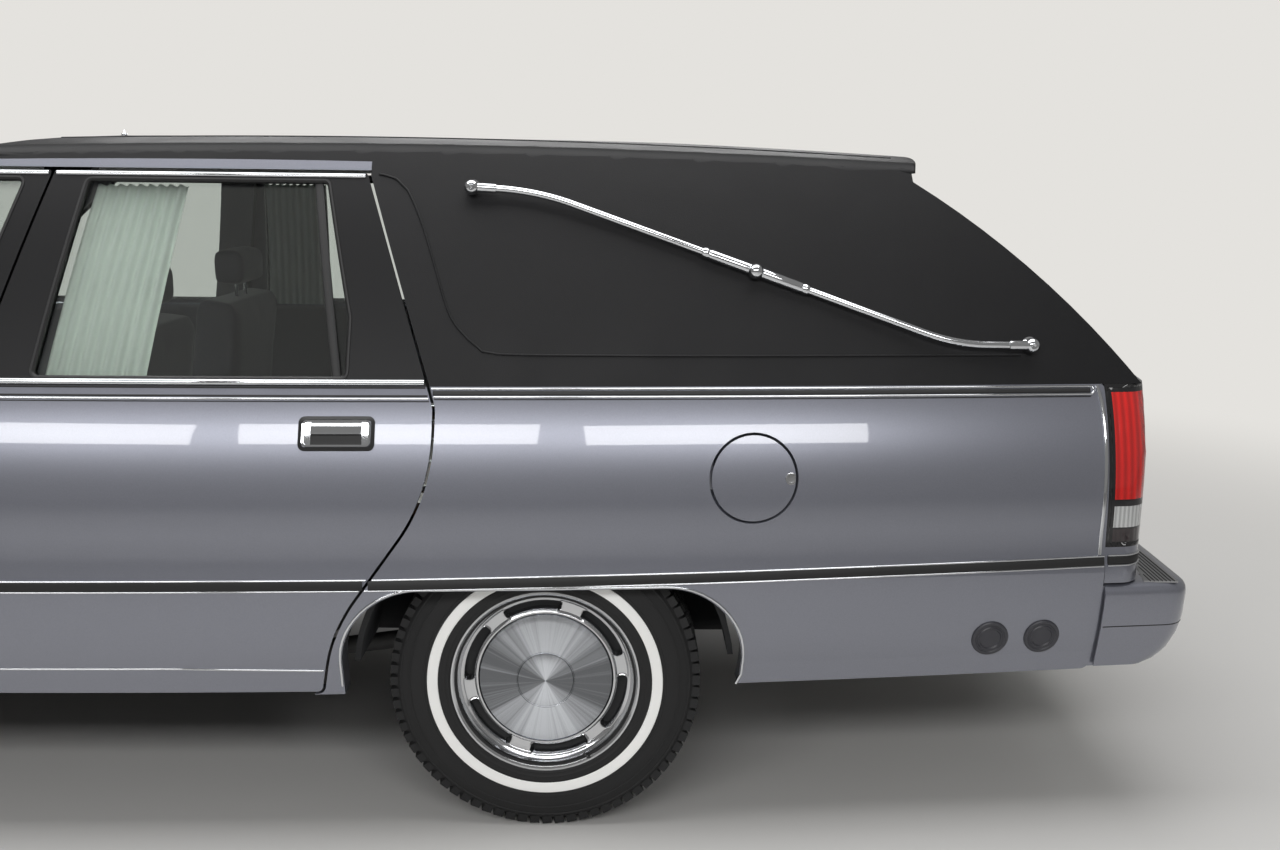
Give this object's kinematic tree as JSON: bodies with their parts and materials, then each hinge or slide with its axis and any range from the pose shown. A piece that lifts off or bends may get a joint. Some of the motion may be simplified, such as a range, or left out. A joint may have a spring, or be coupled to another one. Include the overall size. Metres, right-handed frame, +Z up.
{
  "type": "hearse, coach-built on a full-size estate car",
  "caption": "Coach-built hearse with a grey metal lower body, raised black vinyl roof, closed rear sides with landau bars, opening doors and hood, and a roller deck.",
  "frame": {"origin": "on the ground under the middle of the car", "axes": "+X to the rear of the car, +Y to its right-hand side, +Z up"},
  "size_m": [5.519, 2.236, 1.534],
  "materials": {
    "body_paint": "gloss",
    "vinyl": "satin",
    "glass": "clear",
    "lamp_lens": "gloss",
    "lamp_glass": "clear",
    "chrome": "polished",
    "bumper_skin": "satin",
    "black_steel": "satin",
    "plain_steel": "dull",
    "cast_iron": "rough",
    "trim_plastic": "matt",
    "seat_cloth": "woven",
    "curtain_cloth": "pleated",
    "deck_board": "satin",
    "roller_rubber": "matt",
    "tyre": "matt",
    "wheel_steel": "brushed"
  },
  "bodies": {
    "body": {"vinyl_shell": "vinyl", "roof_panel": "body_paint", "side_frames": "body_paint", "windscreen": "glass", "quarter_panels": "body_paint", "tail_frame": "body_paint", "tail_lamps": "lamp_lens", "front_fenders": "body_paint", "nose_panel": "body_paint", "headlamps": "lamp_glass", "grille": "chrome", "front_bumper": "bumper_skin", "rear_bumper": "bumper_skin", "chassis_frame": "black_steel", "floor_pan": "black_steel", "cowl": "black_steel", "dash": "trim_plastic", "engine_block": "cast_iron", "driveshaft": "black_steel", "rear_axle": "cast_iron", "front_arms": "black_steel", "seat_cushions": "seat_cloth", "seat_backs": "seat_cloth", "roller_deck": "deck_board", "deck_rollers": "roller_rubber", "landau_bars": "chrome", "fuel_tank": "plain_steel", "exhaust": "plain_steel", "antenna": "chrome"},
    "front_door_left": {"front_door_left": "body_paint", "front_glass_left": "glass", "mirror_left": "trim_plastic"},
    "rear_door_left": {"rear_door_left": "body_paint", "rear_glass_left": "glass", "curtain_left": "curtain_cloth"},
    "front_door_right": {"front_door_right": "body_paint", "front_glass_right": "glass", "mirror_right": "trim_plastic"},
    "rear_door_right": {"rear_door_right": "body_paint", "rear_glass_right": "glass", "curtain_right": "curtain_cloth"},
    "loading_door": {"loading_door": "body_paint", "tail_glass": "glass"},
    "hood": {"hood": "body_paint"},
    "fuel_door": {"fuel_door": "body_paint"},
    "knuckle_left": {"knuckle_left": "cast_iron"},
    "knuckle_right": {"knuckle_right": "cast_iron"},
    "steering_wheel": {"steering_wheel": "trim_plastic"},
    "front_wheel_left": {"wheel_front_left": "wheel_steel", "tyre_front_left": "tyre"},
    "rear_wheel_left": {"wheel_rear_left": "wheel_steel", "tyre_rear_left": "tyre"},
    "front_wheel_right": {"wheel_front_right": "wheel_steel", "tyre_front_right": "tyre"},
    "rear_wheel_right": {"wheel_rear_right": "wheel_steel", "tyre_rear_right": "tyre"}
  },
  "joints": [
    {"name": "front_door_left_hinge", "type": "hinge", "parent": "body", "child": "front_door_left", "pos_m": [-1.01, -0.9878, 0.66], "axis": [0, 0, -1], "range_deg": [0, 65]},
    {"name": "rear_door_left_hinge", "type": "hinge", "parent": "body", "child": "rear_door_left", "pos_m": [0.092, -1.01081, 0.66], "axis": [0, 0, -1], "range_deg": [0, 65]},
    {"name": "front_door_right_hinge", "type": "hinge", "parent": "body", "child": "front_door_right", "pos_m": [-1.01, 0.9878, 0.66], "axis": [0, 0, 1], "range_deg": [0, 65]},
    {"name": "rear_door_right_hinge", "type": "hinge", "parent": "body", "child": "rear_door_right", "pos_m": [0.092, 1.01081, 0.66], "axis": [0, 0, 1], "range_deg": [0, 65]},
    {"name": "loading_door_hinge", "type": "hinge", "parent": "body", "child": "loading_door", "pos_m": [2.642, -0.697, 0.8], "axis": [0, 0, -1], "range_deg": [0, 100]},
    {"name": "hood_hinge", "type": "hinge", "parent": "body", "child": "hood", "pos_m": [-1.078, 0, 1.0372], "axis": [0, 1, 0], "range_deg": [0, 55]},
    {"name": "fuel_door_hinge", "type": "hinge", "parent": "body", "child": "fuel_door", "pos_m": [1.637, -0.934, 0.804], "axis": [0, 0, -1], "range_deg": [0, 95]},
    {"name": "steer_left", "type": "hinge", "parent": "body", "child": "knuckle_left", "pos_m": [-1.6595, -0.69, 0.342], "axis": [0, 0, 1], "range_deg": [-35, 35]},
    {"name": "steer_right", "type": "hinge", "parent": "body", "child": "knuckle_right", "pos_m": [-1.6595, 0.69, 0.342], "axis": [0, 0, 1], "range_deg": [-35, 35]},
    {"name": "steering_wheel_turn", "type": "hinge", "parent": "body", "child": "steering_wheel", "pos_m": [-0.47, -0.37, 0.905], "axis": [0.9135, 0, 0.4067], "range_deg": [-495, 495]},
    {"name": "front_wheel_left_spin", "type": "hinge", "parent": "knuckle_left", "child": "front_wheel_left", "pos_m": [-1.6595, -0.7885, 0.342], "axis": [0, 1, 0], "continuous": true},
    {"name": "rear_wheel_left_spin", "type": "hinge", "parent": "body", "child": "rear_wheel_left", "pos_m": [1.2845, -0.814, 0.342], "axis": [0, 1, 0], "continuous": true},
    {"name": "front_wheel_right_spin", "type": "hinge", "parent": "knuckle_right", "child": "front_wheel_right", "pos_m": [-1.6595, 0.7885, 0.342], "axis": [0, 1, 0], "continuous": true},
    {"name": "rear_wheel_right_spin", "type": "hinge", "parent": "body", "child": "rear_wheel_right", "pos_m": [1.2845, 0.814, 0.342], "axis": [0, 1, 0], "continuous": true}
  ],
  "couplings": [
    {"joint": "steer_right", "follows": "steer_left", "ratio": 1},
    {"joint": "steering_wheel_turn", "follows": "steer_left", "ratio": 14}
  ]
}
